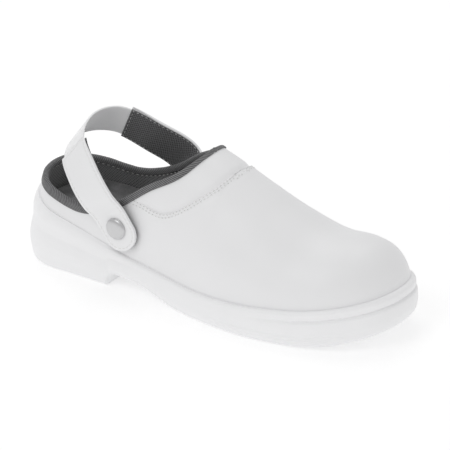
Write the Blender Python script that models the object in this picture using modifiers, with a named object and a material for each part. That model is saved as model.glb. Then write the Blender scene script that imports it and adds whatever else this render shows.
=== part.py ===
"""White moulded clog for the right foot, with a heel strap that swings on two capped rivets.

Metres, +Z up, +X towards the toe, +Y towards the inner side of the foot.
The origin lies on the floor at the centre of the heel tread.
"""
import math

import bpy
import bmesh
import numpy as np
from mathutils import Vector
from mathutils.bvhtree import BVHTree
from mathutils.kdtree import KDTree

# Main sizes
SOLE_LENGTH = 0.292
BALL_WIDTH = 0.106
HEEL_SEAT = 0.038
HEEL_ROUND = 0.036
TOE_ROUND = 0.060
HEEL_SQUARENESS = 2.2
TOE_SQUARENESS = 2.3
END_RUN = 0.055

# Sole
RIM_HEIGHT = 0.050
RIM_LEDGE = 0.0045
ARCH_HEIGHT = 0.0098
TOE_SPRING = 0.0125
SPRING_START = 0.74
GROOVE_WIDTH = 0.0035
GROOVE_DEPTH = 0.0022
GROOVE_EDGE = 0.013
GROOVE_STATIONS = (0.068, 0.192, 0.545, 0.597, 0.649, 0.701, 0.753, 0.805, 0.857)

# Upper
RIDGE_HEIGHT = 0.1164
COLLAR_HEIGHT = 0.063
WALL = 0.0020
RIM_GRIP = 0.004
TOE_CROWN = 0.048
CROWN_SQUARENESS = 2.6
SECTION_SQUARENESS = 2.1
HEEL_LEAN = 0.0027
LEAN_RISE = 0.020
THROAT = 0.492
SEAM_TOP = 0.562
SEAM_STEP = 0.0012
SEAM_SLOPE = 0.014
SEAM_TAPER = 0.20

# Gaps between neighbouring pieces
FIT_GAP = 0.0003
SLIDE_GAP = 0.0003
BINDING_GAP = 0.0004
THROAT_GAP = 0.0008

# Collar binding
BINDING_THICKNESS = 0.0014
BINDING_DEPTH = 0.0050
SIDE_DEPTH = 0.0027
INNER_DEPTH = 0.0023
THROAT_DEPTH = 0.0014

# Insole
INSOLE_THICKNESS = 0.0045
INSOLE_CUP = 0.0030
INSOLE_LIP = 0.003
INSOLE_DISH = 0.014

# Rivets, on both sides of the heel
RIVET_STATION = 0.3118
RIVET_HEIGHT = 0.0472
INNER_AHEAD = 0.00645
CAP_RADIUS = 0.0078
CAP_DOME = 0.0022
CAP_EDGE = 0.0007
SHANK_RADIUS = 0.0024
SPACER_RADIUS = 0.0050
SPACER_THICKNESS = 0.0010
HEAD_RADIUS = 0.0050
HEAD_THICKNESS = 0.0012
HEAD_SLANT = 0.0015
CAP_UNDERCUT = 0.0003
BORE_REACH = 0.014
ROUND_SIDES = 24

# Strap
STRAP_WIDTH = 0.0268
STRAP_THICKNESS = 0.0030
LOOP_WIDTH = 0.0234
LOOP_THICKNESS = 0.0014
TAB_REACH = 0.0165
TAB_RADIUS = 0.0120
STRAP_CHAMFER = 0.0004
STRAP_REACH = 0.05565
STRAP_INSET = 0.0011
STRAP_RISE = 0.0513
LEG_ENDS = (0.350, 0.655)
LOOP_TONGUE = 0.050
POCKET_SPARE = 0.004
POCKET_MOUTH = 0.020

# Plan of the sole: stations are shares of SOLE_LENGTH, widths are shares of BALL_WIDTH.
PLAN = {
    "station": (0.00, 0.10, 0.20, 0.32, 0.45, 0.58, 0.68, 0.78, 0.88, 1.00),
    "centre": (-0.038, -0.007, 0.012, 0.010, -0.002, -0.013, -0.006, 0.017, 0.043, 0.072),
    "half_width": (0.374, 0.386, 0.400, 0.409, 0.432, 0.481, 0.500, 0.483, 0.449, 0.414),
}

# Heights along the sole, as shares of RIM_HEIGHT: upper rim of the wall and floor of the cup.
LEVELS = {
    "station": (0.00, 0.10, 0.20, 0.30, 0.40, 0.50, 0.62, 0.72, 0.82, 0.92, 1.00),
    "rim": (1.01, 0.84, 0.70, 0.56, 0.47, 0.415, 0.43, 0.48, 0.55, 0.665, 0.77),
    "cup": (0.62, 0.62, 0.57, 0.46, 0.38, 0.32, 0.28, 0.29, 0.33, 0.41, 0.50),
}

# Width of the rim along the sole, as shares of RIM_LEDGE.
LEDGE = {
    "station": (0.00, 0.10, 0.25, 0.60, 0.90, 1.00),
    "width": (1.50, 1.15, 0.98, 0.98, 1.00, 1.13),
}

# Underside of the waist, as shares of ARCH_HEIGHT.
ARCH = {
    "station": (0.00, 0.272, 0.276, 0.280, 0.287, 0.296, 0.32, 0.345, 0.37, 0.40, 0.43, 0.46, 0.49, 1.00),
    "height": (0.0, 0.0, 0.08, 0.62, 0.90, 1.0, 1.0, 0.98, 0.91, 0.66, 0.38, 0.12, 0.0, 0.0),
}

# Steps of the sole wall from the tread to the rim.
# Heights are shares of the wall height, insets are shares of the rim ledge.
STEPS = {
    "step": ("tread", "bevel", "edge", "flare", "band", "band top", "groove", "welt", "welt top",
             "shoulder", "rim"),
    "heel_height": (0.0, 0.025, 0.10, 0.27, 0.40, 0.53, 0.61, 0.67, 0.80, 0.91, 1.0),
    "heel_inset": (0.62, 0.38, 0.20, 0.00, 0.04, 0.22, 0.38, 0.42, 0.46, 0.66, 1.0),
    "waist_height": (0.0, 0.05, 0.16, 0.32, 0.52, 0.66, 0.74, 0.80, 0.91, 0.98, 1.0),
    "waist_inset": (1.15, 0.60, 0.20, 0.00, 0.02, 0.08, 0.14, 0.20, 0.33, 0.58, 1.0),
    "toe_height": (0.0, 0.05, 0.16, 0.36, 0.57, 0.685, 0.735, 0.785, 0.92, 0.98, 1.0),
    "toe_inset": (1.15, 0.60, 0.20, 0.00, 0.02, 0.13, 0.47, 0.30, 0.33, 0.56, 1.0),
}

# Ridge of the upper before the toe is rounded, as shares of RIDGE_HEIGHT.
RIDGE = {
    "station": (0.00, 0.38, 0.45, 0.52, 0.60, 0.70, 0.80, 0.88, 0.95, 1.00),
    "height": (1.30, 1.00, 0.925, 0.858, 0.757, 0.634, 0.552, 0.566, 0.565, 0.479),
}

# Top edge of the upper at the side, as shares of COLLAR_HEIGHT; the last row meets the ridge.
COLLAR = {
    "station": (0.00, 0.10, 0.20, 0.30, 0.38, 0.45),
    "height": (0.99, 0.88, 0.818, 0.99, 1.256, 1.456),
}

# Edge of the vamp across the instep, as shares of COLLAR_HEIGHT.
SEAM = {
    "station": (0.30, 0.365, 0.40, 0.43, 0.46, 0.49, 0.52, 0.55),
    "height": (1.165, 1.063, 1.026, 1.026, 1.09, 1.19, 1.30, 1.42),
}

# Middle line of the strap from the outer rivet to the inner one, and the direction of its width.
# The line is given from the straight line between the rivets: shares of STRAP_REACH behind it,
# of half the spread to each side, and of STRAP_RISE above it.
STRAP = {
    "station": (0.00, 0.05, 0.125, 0.25, 0.375, 0.50, 0.625, 0.75, 0.875, 0.95, 1.00),
    "back": (0.00, 0.117, 0.245, 0.556, 0.879, 1.022, 0.875, 0.478, 0.164, 0.060, 0.00),
    "side": (-1.0, -1.0, -1.09, -0.98, -0.627, -0.008, 0.535, 0.762, 1.04, 1.0, 1.0),
    "up": (0.00, 0.161, 0.351, 0.662, 0.880, 0.958, 0.889, 0.672, 0.365, 0.165, 0.00),
    "wide_forward": (0.857, 0.857, 0.83, 0.665, 0.61, 0.555, 0.426, 0.503, 0.767, 0.93, 0.93),
    "wide_across": (0.0, 0.0, 0.02, 0.10, 0.116, 0.0, -0.048, 0.018, 0.17, 0.0, 0.0),
    "wide_up": (0.515, 0.515, 0.57, 0.745, 0.80, 0.83, 0.904, 0.864, 0.619, 0.367, 0.367),
}


def smooth(table, column, share):
    """Value of a column at a share of the length, on a smooth curve through the rows."""
    x = np.asarray(table["station"], float)
    y = np.asarray(table[column], float)
    share = np.clip(np.asarray(share, float), x[0], x[-1])
    step = np.diff(x)
    slope = np.diff(y) / step
    tangent = np.empty_like(y)
    tangent[0] = slope[0]
    tangent[-1] = slope[-1]
    tangent[1:-1] = (step[1:] * slope[:-1] + step[:-1] * slope[1:]) / (step[1:] + step[:-1])
    row = np.clip(np.searchsorted(x, share, side="right") - 1, 0, len(step) - 1)
    t = (share - x[row]) / step[row]
    rise = (1 + 2 * t) * (1 - t) ** 2 * y[row] + t * t * (3 - 2 * t) * y[row + 1]
    bend = t * (1 - t) ** 2 * tangent[row] - t * t * (1 - t) * tangent[row + 1]
    return rise + bend * step[row]


def blend(low, high, value):
    """0 below low, 1 above high, eased between."""
    t = np.clip((value - low) / (high - low), 0.0, 1.0)
    return t * t * (3 - 2 * t)


def ease_out(start, stop, count):
    return start + (stop - start) * (1 - np.cos(np.linspace(0, math.pi / 2, count)))


def ease_in(start, stop, count):
    return start + (stop - start) * np.sin(np.linspace(0, math.pi / 2, count))


def stations():
    """Shares of the length shared by the sole, the upper, the insole and the binding."""
    heel = ease_out(0.0, 0.268, 11)
    breast = (0.2745, 0.2785, 0.284, 0.292)
    side = np.linspace(0.312, THROAT - 0.060, 6)
    throat = ease_in(THROAT - 0.045, THROAT, 8)
    instep = np.linspace(THROAT + 0.02, SEAM_TOP - 0.013, 4)
    seam = (SEAM_TOP - 0.004, SEAM_TOP, SEAM_TOP + 0.012)
    ball = np.linspace(SEAM_TOP + 0.035, 0.76, 6)
    toe = ease_in(0.79, 1.0, 12)
    return np.concatenate([heel, breast, side, throat, instep, seam, ball, toe])


def end_rounding(share):
    """Narrowing of the plan at the heel and at the toe."""
    run = share * SOLE_LENGTH
    heel = np.clip((HEEL_ROUND - run) / HEEL_ROUND, 0, 1)
    toe = np.clip((run - SOLE_LENGTH + TOE_ROUND) / TOE_ROUND, 0, 1)
    back = (1 - heel ** HEEL_SQUARENESS) ** (1 / HEEL_SQUARENESS)
    front = (1 - toe ** TOE_SQUARENESS) ** (1 / TOE_SQUARENESS)
    return back * front


def plan(share, inset):
    """Distance from the heel, centre and half width of the sole outline, moved inward by an inset."""
    run = share * SOLE_LENGTH
    back = (1 - np.clip(run / END_RUN, 0, 1)) ** 2
    front = (1 - np.clip((SOLE_LENGTH - run) / END_RUN, 0, 1)) ** 2
    length = run + inset * (back - front)
    centre = smooth(PLAN, "centre", share) * BALL_WIDTH
    half = (smooth(PLAN, "half_width", share) * BALL_WIDTH - inset) * end_rounding(share)
    return length, centre, half


def ledge(share):
    return smooth(LEDGE, "width", share) * RIM_LEDGE


def rim(share):
    return smooth(LEVELS, "rim", share) * RIM_HEIGHT


def cup(share):
    return smooth(LEVELS, "cup", share) * RIM_HEIGHT


def tread(share):
    """Height of the underside: flat heel, arch and toe spring."""
    spring = np.clip((share - SPRING_START) / (1 - SPRING_START), 0, 1) ** 2 * TOE_SPRING
    return np.interp(share, ARCH["station"], ARCH["height"]) * ARCH_HEIGHT + spring


def base(share):
    """Height at which the upper starts to lean inward."""
    return rim(share) - RIM_GRIP


def ridge(share):
    """Height of the middle line of the upper, rounded down at the toe."""
    inset = ledge(share) + FIT_GAP
    length, _, _ = plan(share, inset)
    front = SOLE_LENGTH - ledge(1.0) - FIT_GAP
    toe = np.clip((length - front + TOE_CROWN) / TOE_CROWN, 0, 1)
    crown = (1 - toe ** CROWN_SQUARENESS) ** (1 / CROWN_SQUARENESS)
    height = smooth(RIDGE, "height", share) * RIDGE_HEIGHT
    return base(share) + (height - base(share)) * crown


def collar(share):
    """Height of the top edge of the upper, which meets the ridge at the throat."""
    rows = {
        "station": COLLAR["station"] + (THROAT,),
        "height": COLLAR["height"] + (float(ridge(THROAT)) / COLLAR_HEIGHT,),
    }
    height = smooth(rows, "height", share) * COLLAR_HEIGHT
    return np.where(share < THROAT, height, ridge(share))


def seam(share):
    """Height of the vamp edge: at the collar before it starts, at the ridge after its top."""
    rows = {
        "station": SEAM["station"] + (SEAM_TOP,),
        "height": SEAM["height"] + (float(ridge(SEAM_TOP)) / COLLAR_HEIGHT,),
    }
    height = smooth(rows, "height", share) * COLLAR_HEIGHT
    height = np.where(share < SEAM_TOP, height, ridge(share))
    return np.minimum(height, collar(share))


def rise_angle(share, height):
    """Angle on the section at which the upper reaches a height."""
    span = np.maximum(ridge(share) - base(share), 1e-9)
    part = np.clip((height - base(share)) / span, 0, 1)
    return np.arcsin(part ** (SECTION_SQUARENESS / 2))


def upper_point(share, side, angle, drop=0.0):
    """Point of the outer face of the upper; the side is -1 outside and +1 inside the foot."""
    power = 2 / SECTION_SQUARENESS
    height = base(share) + (ridge(share) - base(share)) * np.sin(angle) ** power
    lean = HEEL_LEAN * (1 - blend(0.0, 0.25, share)) * (height - base(share)) / LEAN_RISE
    inset = ledge(share) + FIT_GAP + np.minimum(lean, HEEL_LEAN)
    length, centre, half = plan(share, inset)
    across = centre + side * (half * np.cos(angle) ** power - drop * np.cos(angle))
    return Vector((length - HEEL_SEAT, across, height - drop * np.sin(angle)))


def panel_drop(spare):
    """Depth of the instep panel below the vamp, fading out where the two edges meet."""
    return SEAM_STEP * blend(0.0, SEAM_TAPER, spare)


def collar_point(share, side):
    """Top edge of the outer face of the upper."""
    angle = float(rise_angle(share, collar(share)))
    spare = angle - float(rise_angle(share, seam(share)))
    return upper_point(share, side, angle, float(panel_drop(spare)))


def make_object(name, collection, bm, material):
    mesh = bpy.data.meshes.new(name)
    bm.to_mesh(mesh)
    bm.free()
    thing = bpy.data.objects.new(name, mesh)
    collection.objects.link(thing)
    if material is not None:
        mesh.materials.append(material)
    for face in mesh.polygons:
        face.use_smooth = True
    return thing


def make_material(name, colour, roughness, metallic=0.0):
    material = bpy.data.materials.new(name)
    material.use_nodes = True
    shader = material.node_tree.nodes["Principled BSDF"]
    shader.inputs["Base Color"].default_value = (*colour, 1.0)
    shader.inputs["Roughness"].default_value = roughness
    shader.inputs["Metallic"].default_value = metallic
    return material


def join_rows(bm, first, second):
    """Quads between two closed rings of vertices."""
    count = len(first)
    for i in range(count):
        j = (i + 1) % count
        corners = []
        for corner in (first[i], first[j], second[j], second[i]):
            if corner not in corners:
                corners.append(corner)
        if len(corners) > 2:
            bm.faces.new(corners)


def block(bm, middle, size):
    made = bmesh.ops.create_cube(bm, size=1.0)["verts"]
    bmesh.ops.scale(bm, vec=size, verts=made)
    bmesh.ops.translate(bm, vec=middle, verts=made)


def cut(thing, cutter):
    cutter.hide_render = True
    cutter.display_type = "WIRE"
    boolean = thing.modifiers.new(cutter.name, "BOOLEAN")
    boolean.operation = "DIFFERENCE"
    boolean.solver = "EXACT"
    boolean.object = cutter


def outline_ring(bm, share, inset, height):
    """Ring of vertices round the plan at an inset, from heel to toe outside and back inside."""
    length, centre, half = plan(share, inset)
    ring = []
    for i in range(len(share)):
        ring.append(bm.verts.new((length[i] - HEEL_SEAT, centre[i] - half[i], height[i])))
    for i in range(len(share) - 2, 0, -1):
        ring.append(bm.verts.new((length[i] - HEEL_SEAT, centre[i] + half[i], height[i])))
    return ring


def cap_ring(bm, ring, count, upward):
    """Strips across a ring made by outline_ring."""
    total = len(ring)
    for i in range(count - 1):
        outside = (ring[i], ring[i + 1])
        inside = (ring[(total - i - 1) % total] if i + 1 < count - 1 else ring[count - 1],
                  ring[(total - i) % total])
        corners = []
        for corner in (outside[0], outside[1], inside[0], inside[1]):
            if corner not in corners:
                corners.append(corner)
        if len(corners) > 2:
            if not upward:
                corners.reverse()
            bm.faces.new(corners)


def build_sole(collection, cutters, material):
    share = stations()
    low = tread(share)
    tall = rim(share) - low
    heel = 1 - blend(0.18, 0.45, share)
    toe = blend(0.66, 0.86, share)
    waist = 1 - heel - toe
    bm = bmesh.new()
    rings = []
    for k in range(len(STEPS["step"])):
        height = (heel * STEPS["heel_height"][k] + waist * STEPS["waist_height"][k]
                  + toe * STEPS["toe_height"][k])
        inset = (heel * STEPS["heel_inset"][k] + waist * STEPS["waist_inset"][k]
                 + toe * STEPS["toe_inset"][k])
        rings.append(outline_ring(bm, share, inset * ledge(share), low + height * tall))
    rings.append(outline_ring(bm, share, ledge(share), cup(share)))
    for lower, higher in zip(rings[:-1], rings[1:]):
        join_rows(bm, lower, higher)
    cap_ring(bm, rings[0], len(share), False)
    cap_ring(bm, rings[-1], len(share), True)
    bmesh.ops.recalc_face_normals(bm, faces=bm.faces)
    sole = make_object("sole", collection, bm, material)
    grooves = bmesh.new()
    for station in GROOVE_STATIONS:
        length, centre, half = plan(np.array([station]), GROOVE_EDGE)
        x = length[0] - HEEL_SEAT
        depth = float(tread(station)) + GROOVE_DEPTH
        block(grooves, (x, centre[0], 0.0), (GROOVE_WIDTH, 2 * half[0], 2 * depth))
    cutter = make_object("tread_grooves", cutters, grooves, None)
    cut(sole, cutter)
    return sole


def upper_sheet():
    """Outer face of the upper, from the feather edge in the cup to the collar and over the toe."""
    share = stations()
    vamp_rows = 7
    panel_rows = 5
    count = len(share)
    foot = cup(share) + FIT_GAP
    collar_angle = rise_angle(share, collar(share))
    seam_angle = rise_angle(share, seam(share))
    bm = bmesh.new()
    grids = []
    for side in (-1, 1):
        rows = []
        for i in range(count):
            column = []
            bottom = upper_point(share[i], side, 0.0)
            column.append(bm.verts.new((bottom.x, bottom.y, foot[i])))
            for j in range(vamp_rows + 1):
                angle = seam_angle[i] * j / vamp_rows
                column.append(bm.verts.new(upper_point(share[i], side, angle)))
            spare = collar_angle[i] - seam_angle[i]
            drop = panel_drop(spare)
            start = seam_angle[i] + min(SEAM_SLOPE, spare / 2)
            for j in range(panel_rows):
                angle = start + (collar_angle[i] - start) * j / (panel_rows - 1)
                column.append(bm.verts.new(upper_point(share[i], side, angle, drop)))
            rows.append(column)
        grids.append(rows)
    for side, rows in zip((-1, 1), grids):
        for i in range(count - 1):
            for j in range(len(rows[0]) - 1):
                corners = [rows[i][j], rows[i + 1][j], rows[i + 1][j + 1], rows[i][j + 1]]
                if side > 0:
                    corners.reverse()
                bm.faces.new(corners)
    bmesh.ops.remove_doubles(bm, verts=bm.verts, dist=0.00002)
    bmesh.ops.dissolve_degenerate(bm, edges=bm.edges, dist=0.00001)
    bm.normal_update()
    return bm


def build_upper(collection, cutters, material):
    upper = make_object("upper", collection, upper_sheet(), material)
    shell = upper.modifiers.new("wall", "SOLIDIFY")
    shell.thickness = WALL
    shell.offset = -1.0
    shell.use_rim = True
    hole = bmesh.new()
    for side in (-1, 1):
        spot = rivet_spot(side)
        bore(hole, spot, side, SHANK_RADIUS + SLIDE_GAP, BORE_REACH)
    cut(upper, make_object("rivet_holes", cutters, hole, None))
    return upper


def build_insole(collection, material):
    share = stations()[1:-1]
    side_gap = WALL + 2 * FIT_GAP
    inset = ledge(share) + FIT_GAP + side_gap
    low = cup(share) + 2 * FIT_GAP
    heel = 1 - blend(0.20, 0.50, share)
    edge = low + INSOLE_THICKNESS + heel * INSOLE_CUP
    middle = low + INSOLE_THICKNESS
    bm = bmesh.new()
    bottom = outline_ring(bm, share, inset, low)
    top = outline_ring(bm, share, inset, edge)
    lip = outline_ring(bm, share, inset + INSOLE_LIP, edge)
    bed = outline_ring(bm, share, inset + INSOLE_DISH, middle)
    for lower, higher in ((bottom, top), (top, lip), (lip, bed)):
        join_rows(bm, lower, higher)
    cap_ring(bm, bottom, len(share), False)
    cap_ring(bm, bed, len(share), True)
    bmesh.ops.recalc_face_normals(bm, faces=bm.faces)
    return make_object("insole", collection, bm, material)


def build_binding(collection, material, sheet, edge, normals):
    """Folded tape round the top edge: a channel that follows the wall of the upper."""
    share = stations()
    share = share[share <= THROAT + 1e-6]
    places = [(value, -1) for value in share] + [(value, 1) for value in share[-2:0:-1]]
    points = [collar_point(value, side) for value, side in places]
    count = len(points)
    bm = bmesh.new()
    rings = []
    for i in range(count):
        point = points[i]
        along = (points[(i + 1) % count] - points[i - 1]).normalized()
        value, side = places[i]
        angle = float(rise_angle(value, collar(value)))
        inner = upper_point(min(value + 0.012, 1.0), side, max(angle - 0.12, 0.0))
        outward = normals[edge.find(point)[1]]
        outward = (outward - along * outward.dot(along)).normalized()
        up = outward.cross(along)
        if up.dot(point - inner) < 0:
            up = -up
        throat = float(blend(0.455, THROAT, value))
        outer_depth = BINDING_DEPTH + (SIDE_DEPTH - BINDING_DEPTH) * float(blend(0.18, 0.36, value))
        outer_depth += (THROAT_DEPTH - outer_depth) * throat
        inner_depth = INNER_DEPTH + (THROAT_DEPTH - INNER_DEPTH) * throat
        foot, foot_out, _, _ = sheet.find_nearest(point - up * outer_depth)
        waist, waist_out, _, _ = sheet.find_nearest(point - up * outer_depth * 0.5)
        hem, hem_out, _, _ = sheet.find_nearest(point - up * inner_depth)
        bend, bend_out, _, _ = sheet.find_nearest(point - up * inner_depth * 0.5)
        gap = BINDING_GAP + (THROAT_GAP - BINDING_GAP) * float(blend(0.42, 0.47, value))
        near = gap
        far = -WALL - gap
        skin = BINDING_THICKNESS
        ring = [
            foot + foot_out * near,
            waist + waist_out * near,
            point + outward * near + up * near,
            point + outward * far + up * near,
            bend + bend_out * far,
            hem + hem_out * far,
            hem + hem_out * (far - skin),
            bend + bend_out * (far - skin),
            point + outward * (far - skin * 0.7) + up * (near + skin * 0.6),
            point + outward * (-WALL / 2) + up * (near + skin),
            point + outward * (near + skin * 0.7) + up * (near + skin * 0.6),
            waist + waist_out * (near + skin),
            foot + foot_out * (near + skin),
        ]
        rings.append([bm.verts.new(corner) for corner in ring])
    for i in range(count):
        join_rows(bm, rings[i], rings[(i + 1) % count])
    bmesh.ops.recalc_face_normals(bm, faces=bm.faces)
    return make_object("collar_binding", collection, bm, material)


def rivet_spot(side):
    """Centre of the strap where the rivet passes through it; the inner rivet stands further ahead."""
    station = RIVET_STATION + max(side, 0) * INNER_AHEAD / SOLE_LENGTH
    length, centre, half = plan(np.array([station]), STRAP_INSET)
    return Vector((length[0] - HEEL_SEAT, centre[0] + side * half[0], RIVET_HEIGHT))


def bore(bm, spot, side, radius, reach):
    """Round bar across the shoe through a rivet spot."""
    made = bmesh.ops.create_cone(bm, cap_ends=True, segments=ROUND_SIDES, radius1=radius,
                                 radius2=radius, depth=2 * reach)["verts"]
    turn = Vector((0.0, 0.0, 1.0)).rotation_difference(Vector((0.0, side, 0.0))).to_matrix()
    bmesh.ops.rotate(bm, cent=(0.0, 0.0, 0.0), matrix=turn, verts=made)
    bmesh.ops.translate(bm, vec=spot, verts=made)


def strap_centre(station):
    back = float(smooth(STRAP, "back", station)) * STRAP_REACH
    rise = float(smooth(STRAP, "up", station)) * STRAP_RISE
    outside = rivet_spot(-1)
    inside = rivet_spot(1)
    across = (float(smooth(STRAP, "side", station)) + 1) / 2 * (inside.y - outside.y)
    ahead = station * (inside.x - outside.x)
    return Vector((outside.x + ahead - back, outside.y + across, outside.z + rise))


def strap_frame(station):
    """Middle, direction, width direction and outward direction of the strap."""
    station = min(max(station, 0.0), 1.0)
    before = max(station - 0.01, 0.0)
    after = min(station + 0.01, 1.0)
    along = (strap_centre(after) - strap_centre(before)).normalized()
    wide = Vector([float(smooth(STRAP, name, station))
                   for name in ("wide_forward", "wide_across", "wide_up")])
    wide = (wide - along * wide.dot(along)).normalized()
    return strap_centre(station), along, wide, wide.cross(along)


def strap_ring(bm, middle, wide, out, width, thickness):
    """Chamfered section of the strap."""
    a = width / 2
    b = thickness / 2
    c = min(STRAP_CHAMFER, a / 2)
    ring = []
    for u, v in ((-a, b - c), (-a + c, b), (a - c, b), (a, b - c),
                 (a, c - b), (a - c, -b), (c - a, -b), (-a, c - b)):
        ring.append(bm.verts.new(middle + wide * u + out * v))
    return ring


def ribbon(bm, rings):
    for first, second in zip(rings[:-1], rings[1:]):
        join_rows(bm, first, second)
    bm.faces.new(rings[0])
    bm.faces.new(rings[-1])
    bmesh.ops.recalc_face_normals(bm, faces=bm.faces)


def loop_rings(bm, start, stop, count, width, thickness):
    rings = []
    for station in np.linspace(start, stop, count):
        middle, _, wide, out = strap_frame(station)
        rings.append(strap_ring(bm, middle, wide, out, width, thickness))
    return rings


def build_leg(name, collection, cutters, material, side):
    """Half of the strap: a round tab under the rivet, and a pocket for the loop at the other end."""
    anchor = 0.0 if side < 0 else 1.0
    end = LEG_ENDS[0] if side < 0 else LEG_ENDS[1]
    middle, along, wide, out = strap_frame(anchor)
    toward_tip = along * side
    bm = bmesh.new()
    rings = []
    for turn in (12, 25, 40, 55, 72, 90):
        run = TAB_RADIUS * (1 - math.cos(math.radians(turn)))
        width = STRAP_WIDTH * math.sin(math.radians(turn))
        spot = middle + toward_tip * (TAB_REACH - run)
        rings.append(strap_ring(bm, spot, wide, out, width, STRAP_THICKNESS))
    for station in np.linspace(anchor, end, 15):
        middle, _, wide, out = strap_frame(station)
        rings.append(strap_ring(bm, middle, wide, out, STRAP_WIDTH, STRAP_THICKNESS))
    ribbon(bm, rings)
    leg = make_object(name, collection, bm, material)
    hole = bmesh.new()
    bore(hole, rivet_spot(side), side, SHANK_RADIUS + SLIDE_GAP, 2 * STRAP_THICKNESS)
    cut(leg, make_object(name + "_hole", cutters, hole, None))
    pocket = bmesh.new()
    start = end + (LOOP_TONGUE + POCKET_SPARE) * side
    ribbon(pocket, loop_rings(pocket, start, end - POCKET_MOUTH * side, 8,
                              LOOP_WIDTH + 2 * SLIDE_GAP, LOOP_THICKNESS + 2 * SLIDE_GAP))
    cut(leg, make_object(name + "_pocket", cutters, pocket, None))
    return leg


def build_loop(collection, material):
    bm = bmesh.new()
    ribbon(bm, loop_rings(bm, LEG_ENDS[0] - LOOP_TONGUE, LEG_ENDS[1] + LOOP_TONGUE, 30,
                          LOOP_WIDTH, LOOP_THICKNESS))
    return make_object("strap_loop", collection, bm, material)


def build_rivet(name, collection, material, side, sheet):
    """Domed cap outside, shank through strap and upper, round head inside: one turned shape."""
    spot = rivet_spot(side)
    axis = Vector((0.0, side, 0.0))
    wall, _, _, reach = sheet.ray_cast(spot, -axis)
    cap = STRAP_THICKNESS / 2 + SLIDE_GAP
    shelf = -STRAP_THICKNESS / 2 - SLIDE_GAP
    inside = -reach - WALL - SLIDE_GAP - HEAD_SLANT
    profile = [(0.0, cap + CAP_EDGE + CAP_DOME)]
    for turn in (15, 30, 45, 60, 75, 90):
        angle = math.radians(turn)
        profile.append((CAP_RADIUS * math.sin(angle), cap + CAP_EDGE + CAP_DOME * math.cos(angle)))
    profile += [
        (CAP_RADIUS, cap + CAP_EDGE),
        (CAP_RADIUS - CAP_UNDERCUT, cap),
        (SHANK_RADIUS, cap),
        (SHANK_RADIUS, shelf),
        (SPACER_RADIUS, shelf),
        (SPACER_RADIUS, shelf - SPACER_THICKNESS),
        (SHANK_RADIUS, shelf - SPACER_THICKNESS),
        (SHANK_RADIUS, inside),
        (HEAD_RADIUS, inside),
        (HEAD_RADIUS, inside - HEAD_THICKNESS),
        (0.0, inside - HEAD_THICKNESS),
    ]
    bm = bmesh.new()
    chain = [bm.verts.new((radius, 0.0, height)) for radius, height in profile]
    for pair in zip(chain[:-1], chain[1:]):
        bm.edges.new(pair)
    rivet = make_object(name, collection, bm, material)
    rivet.location = spot
    rivet.rotation_euler = Vector((0.0, 0.0, 1.0)).rotation_difference(axis).to_euler()
    turned = rivet.modifiers.new("turned", "SCREW")
    turned.axis = "Z"
    turned.angle = 2 * math.pi
    turned.screw_offset = 0.0
    turned.steps = ROUND_SIDES
    turned.render_steps = ROUND_SIDES
    turned.use_merge_vertices = True
    turned.merge_threshold = 0.00001
    turned.use_smooth_shade = True
    return rivet


def outer_sheet():
    """Outer face of the upper for finding points and directions on it."""
    bm = upper_sheet()
    tree = BVHTree.FromBMesh(bm)
    corners = KDTree(len(bm.verts))
    normals = []
    for number, vert in enumerate(bm.verts):
        corners.insert(vert.co, number)
        normals.append(vert.normal.copy())
    corners.balance()
    bm.free()
    return tree, corners, normals


def main():
    for thing in list(bpy.data.objects):
        bpy.data.objects.remove(thing, do_unlink=True)
    clog = bpy.data.collections.new("strapped_clog")
    bpy.context.scene.collection.children.link(clog)
    cutters = bpy.data.collections.new("cutters")
    bpy.context.scene.collection.children.link(cutters)
    build_sole(clog, cutters, make_material("sole_polyurethane", (0.83, 0.83, 0.83), 0.5))
    build_upper(clog, cutters, make_material("upper_microfibre", (0.80, 0.80, 0.80), 0.45))
    build_insole(clog, make_material("insole_felt", (0.22, 0.22, 0.22), 0.95))
    sheet, edge, normals = outer_sheet()
    build_binding(clog, make_material("binding_knit", (0.08, 0.08, 0.08), 0.9),
                  sheet, edge, normals)
    leather = make_material("strap_microfibre", (0.82, 0.82, 0.82), 0.45)
    build_leg("strap_leg_lateral", clog, cutters, leather, -1)
    build_leg("strap_leg_medial", clog, cutters, leather, 1)
    build_loop(clog, make_material("loop_polyurethane", (0.75, 0.75, 0.75), 0.5))
    steel = make_material("rivet_steel", (0.60, 0.60, 0.60), 0.35, 1.0)
    build_rivet("rivet_lateral", clog, steel, -1, sheet)
    build_rivet("rivet_medial", clog, steel, 1, sheet)


main()
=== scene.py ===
"""Looks of a white work clog for the right foot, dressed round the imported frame.

Metres, +Z up, +X towards the toe, +Y towards the inner side of the foot.
"""
import math

import bmesh
import bpy
import numpy as np
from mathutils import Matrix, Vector
from mathutils.bvhtree import BVHTree
from mathutils.kdtree import KDTree


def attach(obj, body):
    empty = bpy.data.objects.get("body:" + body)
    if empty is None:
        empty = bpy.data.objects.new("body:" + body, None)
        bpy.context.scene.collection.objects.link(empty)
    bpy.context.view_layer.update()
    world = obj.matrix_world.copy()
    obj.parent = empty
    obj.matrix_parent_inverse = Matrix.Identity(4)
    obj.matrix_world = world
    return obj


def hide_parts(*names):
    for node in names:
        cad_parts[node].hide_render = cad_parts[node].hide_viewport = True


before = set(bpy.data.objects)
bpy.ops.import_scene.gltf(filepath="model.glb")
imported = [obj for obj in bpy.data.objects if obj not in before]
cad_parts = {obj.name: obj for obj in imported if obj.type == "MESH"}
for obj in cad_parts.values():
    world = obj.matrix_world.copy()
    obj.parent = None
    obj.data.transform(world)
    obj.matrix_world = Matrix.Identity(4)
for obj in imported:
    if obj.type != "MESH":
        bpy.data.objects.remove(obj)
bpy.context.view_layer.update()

MM = 0.001

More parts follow.
